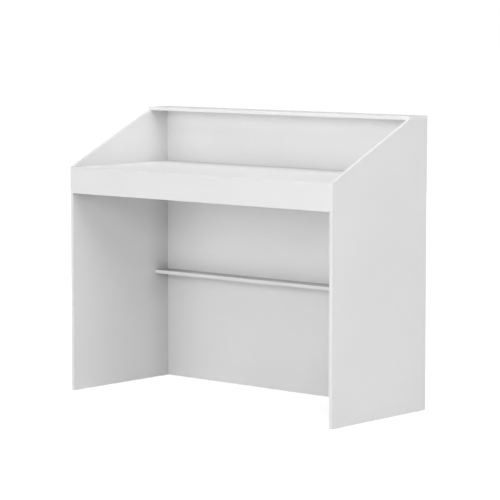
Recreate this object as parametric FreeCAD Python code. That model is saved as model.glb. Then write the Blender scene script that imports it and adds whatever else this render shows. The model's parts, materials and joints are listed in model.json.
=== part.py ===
import FreeCAD
import Part
import os
from collections import defaultdict

# A free-standing reception desk of white faced board, knocked down for shipping: two side
# panels with a sloping shoulder, a visitor-side front panel, a worktop with an apron under its
# staff edge, a narrow shelf rail, and a counter ledge on top. The boards are joined with cam
# locks, cam bolts and wooden dowels.
#
# Millimetres. The origin is on the floor under the middle of the desk and +Z is up. Staff sit
# on the -Y side and visitors stand on the +Y side. Left and right are as the staff see them.

# Desk sizes
OVERALL_WIDTH = 1200.0
OVERALL_DEPTH = 500.0
WORKTOP_HEIGHT = 800.0    # floor to the top of the worktop
UPSTAND_HEIGHT = 188.0    # top of the worktop to the underside of the ledge
LEDGE_DEPTH = 100.0
APRON_HEIGHT = 81.0       # below the underside of the worktop
RAIL_CLEARANCE = 387.0    # floor to the underside of the shelf rail
RAIL_DEPTH = 66.0
BOARD = 12.0              # thickness of every board

# Edge banding glued to every edge that shows
EDGE_BAND = 0.8
EDGE_ROUND = 0.25
ROUND_LIMIT = 0.9         # most of the band's thickness that its rounding may take

# Cam lock: a zinc drum in a blind bore, which grips the head of a bolt from the next board
CAM_BORE_DIAMETER = 15.0
CAM_BORE_MARGIN = 0.5     # depth of the bore below the bolt's own bore
CAM_REACH = 24.0          # edge of the board to the middle of the bore
CAM_PLAY = 0.1            # gap around and under the drum
CAM_ENTRY_TURN = 150.0    # degrees from the locked place to the window that lets the head in
CAM_RECESS_SPAN = 7.0
CAM_RECESS_WIDTH = 1.4
CAM_RECESS_DEPTH = 1.4

# Cam bolt
BOLT_BORE_DIAMETER = 7.0
BOLT_PLAY = 0.1           # gap around the collar, the thread and the head
BOLT_SHAFT_DIAMETER = 5.8
BOLT_COLLAR_LENGTH = 2.0
BOLT_NECK_DIAMETER = 3.2
BOLT_NECK_PLAY = 0.25
BOLT_HEAD_DIAMETER = 5.2
BOLT_HEAD_LENGTH = 2.6
BOLT_HEAD_TRAVEL = 1.5    # room behind the head
BOLT_THREAD_DIAMETER = 5.0
BOLT_CORE_DIAMETER = 3.8
BOLT_THREAD_PITCH = 2.2
BOLT_THREAD_FLOOR = 3.0   # board left under the thread

# Plastic cap over each cam lock that faces the staff
CAP_DIAMETER = 17.0
CAP_THICKNESS = 0.7
CAP_BEVEL = 0.4
CAP_STEM_LENGTH = 1.2
CAP_STEM_PLAY = 0.15

# Wooden dowel
DOWEL_DIAMETER = 6.0
DOWEL_LENGTH = 28.0
DOWEL_FACE_DEPTH = 8.0    # length in the face of the board that it stands on
DOWEL_CHAMFER = 0.8
DOWEL_PLAY = 0.05
DOWEL_END_PLAY = 0.5

# Nail-on floor glide
GLIDE_DIAMETER = 10.0
GLIDE_HEIGHT = 1.5
GLIDE_CHAMFER = 0.5
GLIDE_SETBACK = 40.0      # from the ends of a side panel
NAIL_DIAMETER = 1.6
NAIL_LENGTH = 14.0        # in the board
NAIL_HEAD_COVER = 0.8     # plastic under the nail
NAIL_PLAY = 0.05

# Where the fittings go
FITTING_PITCH = 32.0      # from a cam bolt to the dowel beside it
END_SETBACK = 60.0        # from a board's corner to the first fitting along its end
LONG_SETBACK = 200.0      # from a board's end to the first fitting along its long edge
LONG_COUNT = 3            # cam bolts along a long edge
FOOT_SETBACK = 80.0       # from the bottom of the front panel to its lowest cam bolt

# Planes that follow from the sizes above
SIDE_X = OVERALL_WIDTH / 2
INNER_X = SIDE_X - BOARD
STAFF_Y = -OVERALL_DEPTH / 2
VISITOR_Y = OVERALL_DEPTH / 2
PANEL_Y = VISITOR_Y - BOARD
LEDGE_Y = VISITOR_Y - LEDGE_DEPTH
RAIL_Y = PANEL_Y - RAIL_DEPTH
WORKTOP_Z = WORKTOP_HEIGHT - BOARD
APRON_Z = WORKTOP_Z - APRON_HEIGHT
LEDGE_Z = WORKTOP_HEIGHT + UPSTAND_HEIGHT
RAIL_TOP = RAIL_CLEARANCE + BOARD
MID_BOARD = BOARD / 2
CAM_FLOOR = -(BOLT_BORE_DIAMETER / 2 + CAM_BORE_MARGIN)    # from the middle of the board
CAM_RADIUS = CAM_BORE_DIAMETER / 2 - CAM_PLAY
THREAD_LENGTH = BOARD - BOLT_THREAD_FLOOR
LONG_PITCH = 2 * (INNER_X - LONG_SETBACK) / (LONG_COUNT - 1)
LONG_PLACES = [LONG_SETBACK - INNER_X + i * LONG_PITCH for i in range(LONG_COUNT)]
SIDES = {"left_side_panel": -1, "right_side_panel": 1}

SAME_PLACE = 0.001        # points closer than this are one point

V = FreeCAD.Vector
X_AXIS = V(1, 0, 0)
Y_AXIS = V(0, 1, 0)
Z_AXIS = V(0, 0, 1)

boards = {}
bands = {}
bores = defaultdict(list)
fittings = defaultdict(list)


def frame_at(origin, along, facing):
    """The placement whose X runs along one direction and whose Z faces another."""
    across = facing.cross(along)
    return FreeCAD.Placement(FreeCAD.Matrix(
        along.x, across.x, facing.x, origin.x,
        along.y, across.y, facing.y, origin.y,
        along.z, across.z, facing.z, origin.z,
        0, 0, 0, 1,
    ))


def placed(shape, frame):
    """A copy of a shape, moved into a frame."""
    copy = shape.copy()
    copy.Placement = frame
    return copy


def box(low, high):
    """A block between two opposite corners."""
    size = high - low
    return Part.makeBox(size.x, size.y, size.z, low)


def turned(profile, axis):
    """A solid of revolution about an axis through the origin."""
    return Part.Face(Part.makePolygon(profile + profile[:1])).revolve(V(0, 0, 0), axis, 360)


def prism(corners, height):
    """A straight block on a flat outline."""
    return Part.Face(Part.makePolygon(corners + corners[:1])).extrude(Z_AXIS * height)


# Boards and their edge bands


def inset_line(start, end, inset):
    """A point on an outline's edge and its direction, with the edge moved inwards."""
    direction = (end - start).normalize()
    inwards = V(-direction.y, direction.x, 0)
    return start + inwards * inset, direction


def crossing(first, second):
    """The point where two lines in a plane meet."""
    point, direction = first
    other_point, other_direction = second
    reach = (other_point - point).cross(other_direction).z / direction.cross(other_direction).z
    return point + direction * reach


def edge_band(outer, inner):
    """One strip of banding between an edge's outer and inner lines, rounded on both arrises."""
    strip = prism([outer[0], outer[1], inner[1], inner[0]], BOARD)
    middle = (outer[0] + outer[1]) / 2
    arrises = [
        edge for edge in strip.Edges
        for height in (0, BOARD)
        if edge.CenterOfMass.isEqual(middle + Z_AXIS * height, SAME_PLACE)
    ]
    return strip.makeFillet(min(EDGE_ROUND, EDGE_BAND * ROUND_LIMIT), arrises)


def add_board(name, outline, banded, frame):
    """A board cut to an outline, less the banding on the edges that are banded."""
    corners = [V(along, up, 0) for along, up in outline]
    count = len(corners)
    pairs = [(i, (i + 1) % count) for i in range(count)]
    lines = [
        inset_line(corners[i], corners[k], EDGE_BAND if i in banded else 0) for i, k in pairs
    ]
    inner = [crossing(lines[i - 1], lines[i]) for i in range(count)]
    boards[name] = placed(prism(inner, BOARD), frame)
    bands[name + "_edge_bands"] = [
        placed(edge_band((corners[i], corners[k]), (inner[i], inner[k])), frame)
        for i, k in pairs if i in banded
    ]


def rectangle(low_along, high_along, low_up, high_up):
    """A board's outline, from its lower edge round to its left edge."""
    return [
        (low_along, low_up), (high_along, low_up), (high_along, high_up), (low_along, high_up),
    ]


def add_side_panels():
    """The two ends, with a shoulder that slopes from the worktop up to the ledge."""
    outline = [
        (STAFF_Y, GLIDE_HEIGHT),
        (VISITOR_Y, GLIDE_HEIGHT),
        (VISITOR_Y, LEDGE_Z),
        (LEDGE_Y, LEDGE_Z),
        (STAFF_Y, WORKTOP_HEIGHT),
    ]
    bottom, visitor_edge, slope, staff_edge = 0, 1, 3, 4
    for name, side in SIDES.items():
        low_face = min(side * SIDE_X, side * INNER_X)
        frame = frame_at(V(low_face, 0, 0), Y_AXIS, X_AXIS)
        add_board(name, outline, (bottom, visitor_edge, slope, staff_edge), frame)


def add_front_panel():
    """The visitor-side panel, from the floor to the ledge."""
    outline = rectangle(-INNER_X, INNER_X, GLIDE_HEIGHT, LEDGE_Z)
    bottom = 0
    add_board("front_panel", outline, (bottom,), frame_at(V(0, VISITOR_Y, 0), X_AXIS, -Y_AXIS))


def add_worktop():
    """The writing surface between the side panels."""
    outline = rectangle(-INNER_X, INNER_X, STAFF_Y, PANEL_Y)
    staff_edge = 0
    add_board("worktop", outline, (staff_edge,), frame_at(V(0, 0, WORKTOP_Z), X_AXIS, Z_AXIS))


def add_apron():
    """The board on edge under the worktop's staff edge."""
    outline = rectangle(-INNER_X, INNER_X, APRON_Z, WORKTOP_Z)
    bottom = 0
    add_board("apron", outline, (bottom,), frame_at(V(0, STAFF_Y + BOARD, 0), X_AXIS, -Y_AXIS))


def add_shelf_rail():
    """The narrow shelf that stiffens the front panel."""
    outline = rectangle(-INNER_X, INNER_X, RAIL_Y, PANEL_Y)
    staff_edge = 0
    frame = frame_at(V(0, 0, RAIL_CLEARANCE), X_AXIS, Z_AXIS)
    add_board("shelf_rail", outline, (staff_edge,), frame)


def add_counter_ledge():
    """The visitors' counter, which lies on the front panel and the side panels."""
    outline = rectangle(-SIDE_X, SIDE_X, LEDGE_Y, VISITOR_Y)
    add_board("counter_ledge", outline, range(4), frame_at(V(0, 0, LEDGE_Z), X_AXIS, Z_AXIS))


# Fittings, each in a frame of its own: the joint between the boards is the plane X = 0, the bolt
# or dowel runs along +X into the edge of one board, and the cam lock is let into the face of
# that board on its +Z side.


def cam_bolt():
    """A bolt with a coarse thread, a collar, and a head on a thin neck."""
    head_start = CAM_REACH - BOLT_HEAD_LENGTH / 2
    neck_start = CAM_REACH - CAM_RADIUS - BOLT_NECK_PLAY
    core = BOLT_CORE_DIAMETER / 2
    crest = BOLT_THREAD_DIAMETER / 2
    collar = BOLT_BORE_DIAMETER / 2 - BOLT_PLAY
    shaft = BOLT_SHAFT_DIAMETER / 2
    neck = BOLT_NECK_DIAMETER / 2
    head = BOLT_HEAD_DIAMETER / 2
    profile = [V(-THREAD_LENGTH, 0, 0)]
    for i in range(int(THREAD_LENGTH / BOLT_THREAD_PITCH)):
        root = -THREAD_LENGTH + i * BOLT_THREAD_PITCH
        profile += [V(root, core, 0), V(root + BOLT_THREAD_PITCH / 2, crest, 0)]
    profile += [
        V(0, core, 0),
        V(0, collar, 0),
        V(BOLT_COLLAR_LENGTH, collar, 0),
        V(BOLT_COLLAR_LENGTH, shaft, 0),
        V(neck_start, shaft, 0),
        V(neck_start, neck, 0),
        V(head_start, neck, 0),
        V(head_start, head, 0),
        V(head_start + BOLT_HEAD_LENGTH, head, 0),
        V(head_start + BOLT_HEAD_LENGTH, 0, 0),
    ]
    return turned(profile, X_AXIS)


def cross_key(span, width, low, high):
    """A plus-shaped key on the cam lock's axis."""
    bar = box(V(-span / 2, -width / 2, low), V(span / 2, width / 2, high))
    across = bar.copy()
    across.rotate(V(0, 0, 0), Z_AXIS, 90)
    key = bar.fuse(across).removeSplitter()
    key.translate(X_AXIS * CAM_REACH)
    return key


def cam_lock():
    """The drum, locked: a pocket for the bolt's head, and a slot that its neck turns through."""
    centre = X_AXIS * CAM_REACH
    low = CAM_FLOOR + CAM_PLAY
    high = MID_BOARD - CAM_PLAY
    drum = Part.makeCylinder(CAM_RADIUS, high - low, centre + Z_AXIS * low)
    head_half = BOLT_HEAD_DIAMETER / 2 + BOLT_NECK_PLAY
    neck_half = BOLT_NECK_DIAMETER / 2 + BOLT_NECK_PLAY
    head_start = CAM_REACH - BOLT_HEAD_LENGTH / 2 - BOLT_PLAY
    head_end = CAM_REACH + BOLT_HEAD_LENGTH / 2 + BOLT_HEAD_TRAVEL
    beyond_rim = CAM_RADIUS + CAM_PLAY
    pocket = box(V(head_start, -head_half, low), V(head_end, head_half, head_half))
    neck_slot = box(
        V(CAM_REACH - beyond_rim, -neck_half, -neck_half), V(head_start, neck_half, neck_half)
    )
    entry = box(
        V(CAM_REACH, -head_half, low), V(CAM_REACH + beyond_rim, head_half, head_half)
    )
    entry.rotate(centre, Z_AXIS, 180 - CAM_ENTRY_TURN)
    turning_slot = Part.makeCylinder(
        beyond_rim, 2 * neck_half, centre - Z_AXIS * neck_half, Z_AXIS, CAM_ENTRY_TURN
    )
    turning_slot.rotate(centre, Z_AXIS, 180 - CAM_ENTRY_TURN)
    recess = cross_key(CAM_RECESS_SPAN, CAM_RECESS_WIDTH, high - CAM_RECESS_DEPTH, high)
    return drum.cut([pocket, neck_slot, entry, turning_slot, recess])


def cam_cap():
    """A thin disc on the board's face, with a plus-shaped stem in the cam lock's recess."""
    rim = CAP_DIAMETER / 2
    disc = turned([
        V(0, 0, 0),
        V(rim, 0, 0),
        V(rim, 0, CAP_THICKNESS - CAP_BEVEL),
        V(rim - CAP_BEVEL, 0, CAP_THICKNESS),
        V(0, 0, CAP_THICKNESS),
    ], Z_AXIS)
    disc.translate(V(CAM_REACH, 0, MID_BOARD))
    span = CAM_RECESS_SPAN - 2 * CAP_STEM_PLAY
    width = CAM_RECESS_WIDTH - 2 * CAP_STEM_PLAY
    stem = cross_key(span, width, MID_BOARD - CAP_STEM_LENGTH, MID_BOARD)
    return disc.fuse(stem).removeSplitter()


def dowel():
    """A round wooden pin with chamfered ends."""
    pin = Part.makeCylinder(
        DOWEL_DIAMETER / 2, DOWEL_LENGTH, X_AXIS * -DOWEL_FACE_DEPTH, X_AXIS
    )
    rims = [edge for edge in pin.Edges if edge.Closed]
    return pin.makeChamfer(DOWEL_CHAMFER, rims)


def hole(diameter, start, end):
    """A drill's path along X."""
    return Part.makeCylinder(diameter / 2, end - start, X_AXIS * start, X_AXIS)


def cam_joint(keeper, host, at, into, opening, capped=False):
    """Bolts the keeper's face to the host's edge, with a cam lock in the host's face."""
    frame = frame_at(at, into, opening)
    cam_bore = Part.makeCylinder(
        CAM_BORE_DIAMETER / 2, MID_BOARD - CAM_FLOOR, V(CAM_REACH, 0, CAM_FLOOR)
    )
    thread_hole = hole(BOLT_THREAD_DIAMETER + 2 * BOLT_PLAY, -THREAD_LENGTH - BOLT_PLAY, 0)
    bores[keeper].append(placed(thread_hole, frame))
    bores[host].append(placed(hole(BOLT_BORE_DIAMETER, 0, CAM_REACH), frame))
    bores[host].append(placed(cam_bore, frame))
    fittings[keeper + "_cam_bolts"].append(placed(cam_bolt(), frame))
    fittings[host + "_cam_locks"].append(placed(cam_lock(), frame))
    if capped:
        fittings[host + "_cam_caps"].append(placed(cam_cap(), frame))


def dowel_joint(keeper, host, at, into, opening):
    """Pins the keeper's face to the host's edge."""
    frame = frame_at(at, into, opening)
    bore = DOWEL_DIAMETER + 2 * DOWEL_PLAY
    host_depth = DOWEL_LENGTH - DOWEL_FACE_DEPTH + DOWEL_END_PLAY
    bores[keeper].append(placed(hole(bore, -DOWEL_FACE_DEPTH - DOWEL_END_PLAY, 0), frame))
    bores[host].append(placed(hole(bore, 0, host_depth), frame))
    fittings[host + "_dowels"].append(placed(dowel(), frame))


def cam_and_dowel(keeper, host, at, step, into, opening, capped=False):
    """A cam joint, and a dowel one fitting pitch away from it."""
    cam_joint(keeper, host, at, into, opening, capped)
    dowel_joint(keeper, host, at + step * FITTING_PITCH, into, opening)


def long_joint(keeper, host, middle, into, opening, capped=False):
    """Cam joints along a board's long edge, with a dowel halfway between neighbours."""
    for x in LONG_PLACES:
        cam_joint(keeper, host, middle + X_AXIS * x, into, opening, capped)
    for x in LONG_PLACES[:-1]:
        dowel_joint(keeper, host, middle + X_AXIS * (x + LONG_PITCH / 2), into, opening)


def join_worktop():
    """Worktop to the side panels and the front panel, with cam locks in its underside."""
    height = WORKTOP_Z + MID_BOARD
    for name, side in SIDES.items():
        for y, step in ((STAFF_Y + END_SETBACK, Y_AXIS), (PANEL_Y - END_SETBACK, -Y_AXIS)):
            at = V(side * INNER_X, y, height)
            cam_and_dowel(name, "worktop", at, step, X_AXIS * -side, -Z_AXIS)
    long_joint("front_panel", "worktop", V(0, PANEL_Y, height), -Y_AXIS, -Z_AXIS)


def join_apron():
    """Apron to the side panels and the worktop, with cam locks in its hidden face."""
    depth = STAFF_Y + MID_BOARD
    cam_height = APRON_Z + (APRON_HEIGHT + FITTING_PITCH) / 2
    for name, side in SIDES.items():
        at = V(side * INNER_X, depth, cam_height)
        cam_and_dowel(name, "apron", at, -Z_AXIS, X_AXIS * -side, Y_AXIS)
    long_joint("worktop", "apron", V(0, depth, WORKTOP_Z), -Z_AXIS, Y_AXIS)


def join_shelf_rail():
    """Shelf rail to the side panels and the front panel, with cam locks in its underside."""
    height = RAIL_CLEARANCE + MID_BOARD
    cam_depth = RAIL_Y + (RAIL_DEPTH - FITTING_PITCH) / 2
    for name, side in SIDES.items():
        at = V(side * INNER_X, cam_depth, height)
        cam_and_dowel(name, "shelf_rail", at, Y_AXIS, X_AXIS * -side, -Z_AXIS)
    long_joint("front_panel", "shelf_rail", V(0, PANEL_Y, height), -Y_AXIS, -Z_AXIS)


def join_front_panel():
    """Front panel to the side panels, below the rail, above it and above the worktop."""
    depth = PANEL_Y + MID_BOARD
    heights = (
        GLIDE_HEIGHT + FOOT_SETBACK,
        (RAIL_TOP + WORKTOP_Z) / 2,
        (WORKTOP_HEIGHT + LEDGE_Z) / 2,
    )
    for name, side in SIDES.items():
        for height in heights:
            at = V(side * INNER_X, depth, height)
            cam_and_dowel(name, "front_panel", at, Z_AXIS, X_AXIS * -side, -Y_AXIS, capped=True)


def join_counter_ledge():
    """Ledge to the top edges of the front panel and the side panels."""
    middle = V(0, PANEL_Y + MID_BOARD, LEDGE_Z)
    long_joint("counter_ledge", "front_panel", middle, -Z_AXIS, -Y_AXIS, capped=True)
    cam_depth = (LEDGE_Y + PANEL_Y + FITTING_PITCH) / 2
    for name, side in SIDES.items():
        at = V(side * (SIDE_X - MID_BOARD), cam_depth, LEDGE_Z)
        inside = X_AXIS * -side
        cam_and_dowel("counter_ledge", name, at, -Y_AXIS, -Z_AXIS, inside, capped=True)


# Floor glides, each a plastic pad on a nail in the bottom edge of a board


def glide_pad():
    """A round pad with a chamfered foot and a blind hole for its nail."""
    rim = GLIDE_DIAMETER / 2
    pad = turned([
        V(0, 0, 0),
        V(rim - GLIDE_CHAMFER, 0, 0),
        V(rim, 0, GLIDE_CHAMFER),
        V(rim, 0, GLIDE_HEIGHT),
        V(0, 0, GLIDE_HEIGHT),
    ], Z_AXIS)
    return pad.cut(nail_path())


def nail():
    """A plain nail, standing on its head's cover."""
    return Part.makeCylinder(
        NAIL_DIAMETER / 2,
        GLIDE_HEIGHT - NAIL_HEAD_COVER + NAIL_LENGTH,
        Z_AXIS * NAIL_HEAD_COVER,
    )


def nail_path():
    """The hole that a nail makes, a little larger than the nail."""
    return Part.makeCylinder(
        NAIL_DIAMETER / 2 + NAIL_PLAY,
        GLIDE_HEIGHT - NAIL_HEAD_COVER + NAIL_LENGTH + NAIL_PLAY,
        Z_AXIS * NAIL_HEAD_COVER,
    )


def add_glide(name, x, y):
    """A glide under a board at a place on the floor."""
    frame = frame_at(V(x, y, 0), X_AXIS, Z_AXIS)
    fittings[name + "_glides"].append(placed(glide_pad(), frame))
    fittings[name + "_glide_nails"].append(placed(nail(), frame))
    bores[name].append(placed(nail_path(), frame))
    bores[name + "_edge_bands"].append(placed(nail_path(), frame))


def add_glides():
    """Two glides under each side panel and a row of them under the front panel."""
    for name, side in SIDES.items():
        for y in (STAFF_Y + GLIDE_SETBACK, VISITOR_Y - GLIDE_SETBACK):
            add_glide(name, side * (SIDE_X - MID_BOARD), y)
    for x in LONG_PLACES:
        add_glide("front_panel", x, PANEL_Y + MID_BOARD)


def write_parts():
    """One STEP file for each node, bored where fittings pass through it."""
    os.makedirs("parts", exist_ok=True)
    nodes = dict(fittings)
    for name, board in boards.items():
        nodes[name] = [board.cut(bores[name]) if bores[name] else board]
    for name, strips in bands.items():
        nodes[name] = [strip.cut(bores[name]) if bores[name] else strip for strip in strips]
    for name, shapes in nodes.items():
        solids = [solid for shape in shapes for solid in shape.Solids]
        node = solids[0] if len(solids) == 1 else Part.makeCompound(solids)
        node.exportStep("parts/" + name + ".step")


def main():
    add_side_panels()
    add_front_panel()
    add_worktop()
    add_apron()
    add_shelf_rail()
    add_counter_ledge()
    join_worktop()
    join_apron()
    join_shelf_rail()
    join_front_panel()
    join_counter_ledge()
    add_glides()
    write_parts()


main()
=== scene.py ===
import json
import math
from collections import namedtuple

import bpy
from mathutils import Euler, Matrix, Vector

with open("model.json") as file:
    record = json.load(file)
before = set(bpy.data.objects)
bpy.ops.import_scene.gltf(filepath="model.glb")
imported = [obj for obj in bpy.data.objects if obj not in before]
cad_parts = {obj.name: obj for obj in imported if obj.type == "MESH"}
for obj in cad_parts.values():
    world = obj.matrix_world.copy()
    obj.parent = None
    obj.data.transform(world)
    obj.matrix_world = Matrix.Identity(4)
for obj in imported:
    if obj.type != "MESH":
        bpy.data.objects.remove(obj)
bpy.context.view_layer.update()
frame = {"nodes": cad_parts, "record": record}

# Camera, as the photograph was taken: metres and degrees in the desk's frame
CAMERA_PLACE = (5.3618, -6.0500, 1.3555)
CAMERA_YAW = 41.404        # to the left of +Y
CAMERA_PITCH = -5.8635     # below the horizon
CAMERA_LENS = 169.054      # millimetres, as the sensor is
CAMERA_SENSOR = 36.0

# Stage
FLOOR_HALF = 60.0          # from the desk's middle to each edge of the floor
FLOOR_TONE = 0.8
FLOOR_NEAR = (1.0, 0.62)   # distance from the desk's middle, and the light added to the floor there
FLOOR_FAR = (3.0, 1.0)     # the same from where the floor is plain white
WORLD_TONE = 0.04
BACKDROP_TONE = 1.0

# Soft boxes: distance from the target, width and height
SMALL_BOX = (8.0, 5.0, 1.6)
LARGE_BOX = (8.0, 10.0, 2.4)
SQUARE_BOX = (5.4, 4.0, 4.0)

# Lamps, all turned to one target: degrees from the staff side towards the right end, degrees above
# the horizon, soft box and power
LAMP_TARGET = (0.0, 0.0, 0.6)
LAMPS = {
    "front_left_lamp": (-15, 8, SMALL_BOX, 112.0),
    "low_front_lamp": (15, 2, SMALL_BOX, 60.0),
    "front_right_lamp": (30, 18, SMALL_BOX, 142.0),
    "high_corner_lamp": (60, 40, SMALL_BOX, 143.0),
    "right_lamp": (90, 18, SMALL_BOX, 91.0),
    "top_lamp": (0, 90, SQUARE_BOX, 147.0),
    "left_lamp": (-90, 1, LARGE_BOX, 220.0),
    "back_lamp": (180, 1, LARGE_BOX, 270.0),
}

# Boards: the direction through the thickness, the tone of the faces and the tone of the edge bands.
# The tones differ board by board to stand in for how light falls on each, so they hold painted light
# and shade. All colours are linear
Board = namedtuple("Board", "through face band")
BOARDS = {
    "left_side_panel": Board("X", 0.865, 0.865),
    "right_side_panel": Board("X", 0.87, 0.865),
    "front_panel": Board("Y", 0.886, 0.865),
    "apron": Board("Y", 0.85, 0.85),
    "worktop": Board("Z", 0.875, 0.85),
    "shelf_rail": Board("Z", 0.865, 0.865),
    # painted shade on the ledge's faces, which are darker, and painted light on its bands, which are
    # lighter
    "counter_ledge": Board("Z", 0.77, 0.905),
}

# The painted shade of inside corners, multiplied into the colour of the boards of each direction above
# the
# worktop and below it: how far it spreads, and what it leaves of a colour where nothing is open
WORKTOP_LEVEL = 0.79
PAINTED_SHADES = {
    "X": ((0.12, 0.74), (0.12, 0.6)),
    "Y": ((0.12, 0.84), (0.2, 0.75)),
    "Z": ((0.07, 0.55), (0.12, 0.08)),
}
CORNER_SAMPLES = 12

# Levels between which nearly all of a noise lies
NOISE_RANGE = (0.3, 0.7)

# White melamine and the particle board under it. A cloud is a patch of lighter or darker colour and a
# spot is one of more or less gloss, and both are measured across, in metres
MELAMINE_CLOUD = 0.35
MELAMINE_DRIFT = 0.015              # of the clouds, either way from the board's tone
MELAMINE_SPOT = 0.012
MELAMINE_ROUGHNESS = (0.54, 0.64)
MELAMINE_GRAIN = 0.0009
MELAMINE_RELIEF = (0.00004, 0.25)   # depth and strength
CORE_CHIP = 0.004
CORE_COLOURS = ((0.30, 0.19, 0.095, 1), (0.66, 0.49, 0.30, 1))
FACE_LIMIT = 0.7                    # an edge has less of its normal than this through the board
MATTE_SPECULAR = 0.3                # of melamine and plastic

# White plastic of the edge bands, caps and glides
PLASTIC_CLOUD = 0.06
PLASTIC_DRIFT = 0.01
PLASTIC_SPOT = 0.008
PLASTIC_GRAIN_RATIO = 30            # size of the grain over its depth
PLASTIC_STRENGTH = 0.1
TRIM_ROUGHNESS = (0.5, 0.6)         # of bands and caps
BAND_GRAIN = 0.0008
CAP_GRAIN = 0.0006
GLIDE_TONE = 0.74
GLIDE_ROUGHNESS = (0.42, 0.56)
GLIDE_GRAIN = 0.0005

# Metals of the fittings: darkest and lightest colour, size of the grain, and range of the roughness
METALS = {
    "cam_zinc": ((0.42, 0.42, 0.42, 1), (0.58, 0.58, 0.58, 1), 0.0005, (0.4, 0.6)),
    "bolt_steel": ((0.58, 0.57, 0.52, 1), (0.7, 0.7, 0.68, 1), 0.0003, (0.24, 0.4)),
    "nail_steel": ((0.5, 0.5, 0.5, 1), (0.66, 0.66, 0.66, 1), 0.0003, (0.26, 0.42)),
}
METAL_CLOUD = 6                     # in grains, as the spot is
METAL_SPOT = 3
METAL_GRAIN_RATIO = 20
METAL_STRENGTH = 0.4

# Beech of the dowels
BEECH_CLOUD = 0.012
BEECH_COLOURS = ((0.55, 0.36, 0.19, 1), (0.71, 0.52, 0.32, 1))
FLECK = 0.0016
FLECK_SHARE = (0.0, 0.45)           # how much of a fleck's colour shows
FLECK_CLOUD = 0.0012
FLECK_COLOURS = ((0.36, 0.2, 0.09, 1), (0.66, 0.46, 0.27, 1))
BEECH_SPOT = 0.003
BEECH_ROUGHNESS = (0.55, 0.75)
BEECH_GRAIN = 0.0008
BEECH_RELIEF = (0.00006, 0.5)


def grey(tone):
    """A neutral colour."""
    return (tone, tone, tone, 1)


class Tree:
    """The nodes of a material or world: short calls that add them and join them."""

    def __init__(self, owner):
        owner.use_nodes = True
        self.nodes = owner.node_tree.nodes
        self.links = owner.node_tree.links

    def add(self, kind, **settings):
        node = self.nodes.new(kind)
        for name, value in settings.items():
            setattr(node, name, value)
        return node

    def join(self, source, socket):
        self.links.new(source, socket)

    def math(self, operation, *values):
        """The result of an operation on values that are outputs of nodes or plain numbers."""
        node = self.add("ShaderNodeMath", operation=operation)
        for value, socket in zip(values, node.inputs):
            if isinstance(value, float):
                socket.default_value = value
            else:
                self.join(value, socket)
        return node.outputs[0]

    def blend(self, factor, first, second):
        """The first shader where the factor is 0, and the second where it is 1."""
        node = self.add("ShaderNodeMixShader")
        for source, socket in zip((factor, first, second), node.inputs):
            self.join(source, socket)
        return node.outputs[0]


class Surface(Tree):
    """A material of the desk, with sizes in metres in the desk's own frame."""

    def __init__(self, name):
        self.material = bpy.data.materials.new(name)
        super().__init__(self.material)
        self.shader = self.nodes["Principled BSDF"]
        self.point = self.add("ShaderNodeTexCoord").outputs

    def part(self, vector, axis):
        """One of the three numbers of a vector."""
        node = self.add("ShaderNodeSeparateXYZ")
        self.join(vector, node.inputs["Vector"])
        return node.outputs[axis]

    def noise(self, size, detail=2.0, roughness=0.5):
        """Noise whose blotches are about one size across."""
        node = self.add("ShaderNodeTexNoise")
        node.inputs["Scale"].default_value = 1 / size
        node.inputs["Detail"].default_value = detail
        node.inputs["Roughness"].default_value = roughness
        self.join(self.point["Object"], node.inputs["Vector"])
        return node.outputs["Fac"]

    def ramp(self, value, colours, ends=NOISE_RANGE):
        """A colour between two colours, as the value goes from one end to the other."""
        node = self.add("ShaderNodeValToRGB")
        for element, end, colour in zip(node.color_ramp.elements, ends, colours):
            element.position = end
            element.color = colour
        self.join(value, node.inputs["Fac"])
        return node.outputs["Color"]

    def spread(self, noise, numbers):
        """A number between two numbers, as a noise goes through its range."""
        node = self.add("ShaderNodeMapRange")
        for name, number in zip(("From Min", "From Max", "To Min", "To Max"), (*NOISE_RANGE, *numbers)):
            node.inputs[name].default_value = number
        self.join(noise, node.inputs["Value"])
        return node.outputs["Result"]

    def white(self, cloud, tone, drift):
        """White that drifts a little either way from one tone."""
        return self.ramp(self.noise(cloud, detail=3), (grey(tone - drift), grey(tone + drift)))

    def mix(self, factor, first, second):
        """The first colour where the factor is 0, and the second where it is 1."""
        node = self.add("ShaderNodeMix", data_type="RGBA")
        self.join(factor, node.inputs["Factor"])
        self.join(first, node.inputs["A"])
        self.join(second, node.inputs["B"])
        return node.outputs["Result"]

    def multiply(self, first, second):
        """The product of two colours."""
        node = self.add("ShaderNodeMix", data_type="RGBA", blend_type="MULTIPLY")
        node.inputs["Factor"].default_value = 1.0
        self.join(first, node.inputs["A"])
        self.join(second, node.inputs["B"])
        return node.outputs["Result"]

    def paint(self, colour):
        """Gives the surface its colour."""
        self.join(colour, self.shader.inputs["Base Color"])

    def roughen(self, spot, numbers, detail=2.0):
        """Gives the surface spots of more and less gloss, between two roughnesses."""
        self.join(self.spread(self.noise(spot, detail), numbers), self.shader.inputs["Roughness"])

    def emboss(self, grain, depth, strength):
        """Gives the surface a fine relief."""
        node = self.add("ShaderNodeBump")
        node.inputs["Strength"].default_value = strength
        node.inputs["Distance"].default_value = depth
        self.join(self.noise(grain, detail=3), node.inputs["Height"])
        self.join(node.outputs["Normal"], self.shader.inputs["Normal"])


def painted_corner_shade(surface, board):
    """Painted shade: white in the open, darker where boards meet, one strength above the worktop, one
    below.
    """
    shades = []
    for reach, tone in PAINTED_SHADES[BOARDS[board].through]:
        openness = surface.add("ShaderNodeAmbientOcclusion", samples=CORNER_SAMPLES)
        openness.inputs["Distance"].default_value = reach
        shades.append(surface.ramp(openness.outputs["AO"], (grey(tone), grey(1)), ends=(0, 1)))
    height = surface.part(surface.point["Object"], "Z")
    return surface.mix(surface.math("LESS_THAN", height, WORKTOP_LEVEL), *shades)


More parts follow.
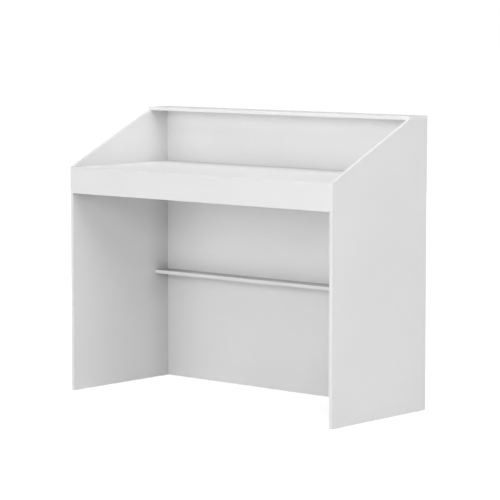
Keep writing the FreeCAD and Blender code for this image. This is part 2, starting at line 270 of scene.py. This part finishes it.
def white_board(board):
    """White melamine on both faces of a particle board, whose core shows on its bare edges; the melamine
    has painted shade in inside corners.
    """
    surface = Surface("white_board_" + board)
    white = surface.white(MELAMINE_CLOUD, BOARDS[board].face, MELAMINE_DRIFT)
    # painted shade: the colour is darkened in inside corners, where shade falls
    melamine = surface.multiply(white, painted_corner_shade(surface, board))
    chips = surface.ramp(surface.noise(CORE_CHIP, detail=5, roughness=0.7), CORE_COLOURS)
    through = surface.math("ABSOLUTE", surface.part(surface.point["Normal"], BOARDS[board].through))
    edge = surface.math("LESS_THAN", through, FACE_LIMIT)
    surface.paint(surface.mix(edge, melamine, chips))
    surface.roughen(MELAMINE_SPOT, MELAMINE_ROUGHNESS, detail=4)
    surface.shader.inputs["Specular IOR Level"].default_value = MATTE_SPECULAR
    surface.emboss(MELAMINE_GRAIN, *MELAMINE_RELIEF)
    return surface.material


def white_plastic(name, tone, grain, roughness, painted_shade_of=None):
    """Satin white plastic with a fine moulded or rolled grain, with the painted shade of the board it
    lies in, if any.
    """
    surface = Surface(name)
    white = surface.white(PLASTIC_CLOUD, tone, PLASTIC_DRIFT)
    if painted_shade_of:
        # painted shade of the board's inside corners
        white = surface.multiply(white, painted_corner_shade(surface, painted_shade_of))
    surface.paint(white)
    surface.roughen(PLASTIC_SPOT, roughness)
    surface.shader.inputs["Specular IOR Level"].default_value = MATTE_SPECULAR
    surface.emboss(grain, grain / PLASTIC_GRAIN_RATIO, PLASTIC_STRENGTH)
    return surface.material


def edge_band(board):
    """The plastic band on a board's edges."""
    return white_plastic("edge_band_" + board, BOARDS[board].band, BAND_GRAIN, TRIM_ROUGHNESS)


def cap_plastic(board):
    """The smooth plastic of the caps over a board's cam locks, in the board's own white and painted
    shade.
    """
    return white_plastic("cap_plastic_" + board, BOARDS[board].face, CAP_GRAIN, TRIM_ROUGHNESS, board)


def grey_metal(name, darkest, lightest, grain, roughness):
    """Dull metal with a mottled skin."""
    surface = Surface(name)
    surface.shader.inputs["Metallic"].default_value = 1.0
    surface.paint(surface.ramp(surface.noise(grain * METAL_CLOUD, detail=4), (darkest, lightest)))
    surface.roughen(grain * METAL_SPOT, roughness)
    surface.emboss(grain, grain / METAL_GRAIN_RATIO, METAL_STRENGTH)
    return surface.material


def beech(name):
    """Plain beech with short dark flecks."""
    surface = Surface(name)
    wood = surface.ramp(surface.noise(BEECH_CLOUD, detail=4), BEECH_COLOURS)
    dark = surface.ramp(surface.noise(FLECK_CLOUD), FLECK_COLOURS)
    flecks = surface.spread(surface.noise(FLECK), FLECK_SHARE)
    surface.paint(surface.mix(flecks, wood, dark))
    surface.roughen(BEECH_SPOT, BEECH_ROUGHNESS)
    surface.emboss(BEECH_GRAIN, *BEECH_RELIEF)
    return surface.material


def dress():
    """Gives each node of the desk the finish of its slot, which for some slots differs by board."""
    shared = {name: grey_metal(name, *look) for name, look in METALS.items()}
    shared["glide_plastic"] = white_plastic("glide_plastic", GLIDE_TONE, GLIDE_GRAIN, GLIDE_ROUGHNESS)
    shared["dowel_beech"] = beech("dowel_beech")
    for part in frame["record"]["subparts"]:
        name = part["node"]
        slot = part["material_slot"]
        if slot == "white_board":
            finish = white_board(name)
        elif slot == "cap_plastic":
            finish = cap_plastic(name.removesuffix("_cam_caps"))
        elif slot == "edge_band":
            finish = edge_band(name.removesuffix("_edge_bands"))
        else:
            finish = shared[slot]
        mesh = frame["nodes"][name].data
        mesh.materials.clear()
        mesh.materials.append(finish)


def seen_ray(tree):
    """1 for rays from the camera and for those that reflections and glass send on, and 0 for light."""
    path = tree.add("ShaderNodeLightPath").outputs
    sent_on = tree.math("MAXIMUM", path["Is Glossy Ray"], path["Is Transmission Ray"])
    return tree.math("MAXIMUM", path["Is Camera Ray"], sent_on)


def floor_finish():
    """A pale floor that reads as white where no shadow falls on it, and that is clear from below."""
    material = bpy.data.materials.new("studio_floor")
    tree = Tree(material)
    tree.nodes.remove(tree.nodes["Principled BSDF"])
    paint = tree.add("ShaderNodeBsdfDiffuse")
    paint.inputs["Color"].default_value = grey(FLOOR_TONE)
    distance = tree.add("ShaderNodeVectorMath", operation="LENGTH")
    tree.join(tree.add("ShaderNodeTexCoord").outputs["Object"], distance.inputs[0])
    lift = tree.add("ShaderNodeMapRange", interpolation_type="SMOOTHSTEP")
    lift.inputs["From Min"].default_value, lift.inputs["To Min"].default_value = FLOOR_NEAR
    lift.inputs["From Max"].default_value, lift.inputs["To Max"].default_value = FLOOR_FAR
    tree.join(distance.outputs["Value"], lift.inputs["Value"])
    glow = tree.add("ShaderNodeEmission")
    tree.join(tree.math("MULTIPLY", seen_ray(tree), lift.outputs["Result"]), glow.inputs["Strength"])
    upper = tree.add("ShaderNodeAddShader")
    tree.join(paint.outputs[0], upper.inputs[0])
    tree.join(glow.outputs[0], upper.inputs[1])
    lower = tree.add("ShaderNodeBsdfTransparent")
    below = tree.add("ShaderNodeNewGeometry").outputs["Backfacing"]
    both = tree.blend(below, upper.outputs[0], lower.outputs[0])
    tree.join(both, tree.nodes["Material Output"].inputs["Surface"])
    return material


def add_floor():
    """The studio floor, level with the underside of the desk's glides."""
    corners = [(x * FLOOR_HALF, y * FLOOR_HALF, 0) for x, y in ((-1, -1), (1, -1), (1, 1), (-1, 1))]
    mesh = bpy.data.meshes.new("studio_floor")
    mesh.from_pydata(corners, [], [(0, 1, 2, 3)])
    mesh.materials.append(floor_finish())
    floor = bpy.data.objects.new("studio_floor", mesh)
    floor.visible_shadow = False    # so that the boards get no corner shade where they meet the floor
    bpy.context.scene.collection.objects.link(floor)


def light_world():
    """Even light from all round, in front of a white backdrop."""
    world = bpy.data.worlds.new("studio")
    bpy.context.scene.world = world
    tree = Tree(world)
    light = tree.nodes["Background"]
    light.inputs["Color"].default_value = grey(WORLD_TONE)
    backdrop = tree.add("ShaderNodeBackground")
    backdrop.inputs["Color"].default_value = grey(BACKDROP_TONE)
    both = tree.blend(seen_ray(tree), light.outputs[0], backdrop.outputs[0])
    tree.join(both, tree.nodes["World Output"].inputs["Surface"])


def add_lamps():
    """Soft boxes all round the desk."""
    for name, (turn, lift, (distance, width, height), power) in LAMPS.items():
        light = bpy.data.lights.new(name, "AREA")
        light.shape = "RECTANGLE"
        light.size = width
        light.size_y = height
        light.energy = power
        lamp = bpy.data.objects.new(name, light)
        aim = Euler((math.radians(90 - lift), 0, math.radians(turn)))
        lamp.rotation_euler = aim
        lamp.location = Vector(LAMP_TARGET) + aim.to_matrix() @ Vector((0, 0, distance))
        bpy.context.scene.collection.objects.link(lamp)


def add_camera():
    """The photograph's viewpoint."""
    lens = bpy.data.cameras.new("camera")
    lens.sensor_width = CAMERA_SENSOR
    lens.lens = CAMERA_LENS
    camera = bpy.data.objects.new("camera", lens)
    camera.location = CAMERA_PLACE
    camera.rotation_euler = (math.radians(90 + CAMERA_PITCH), 0, math.radians(CAMERA_YAW))
    bpy.context.scene.collection.objects.link(camera)
    bpy.context.scene.camera = camera


dress()
add_floor()
light_world()
add_lamps()
add_camera()
bpy.context.scene.view_settings.view_transform = "Standard"
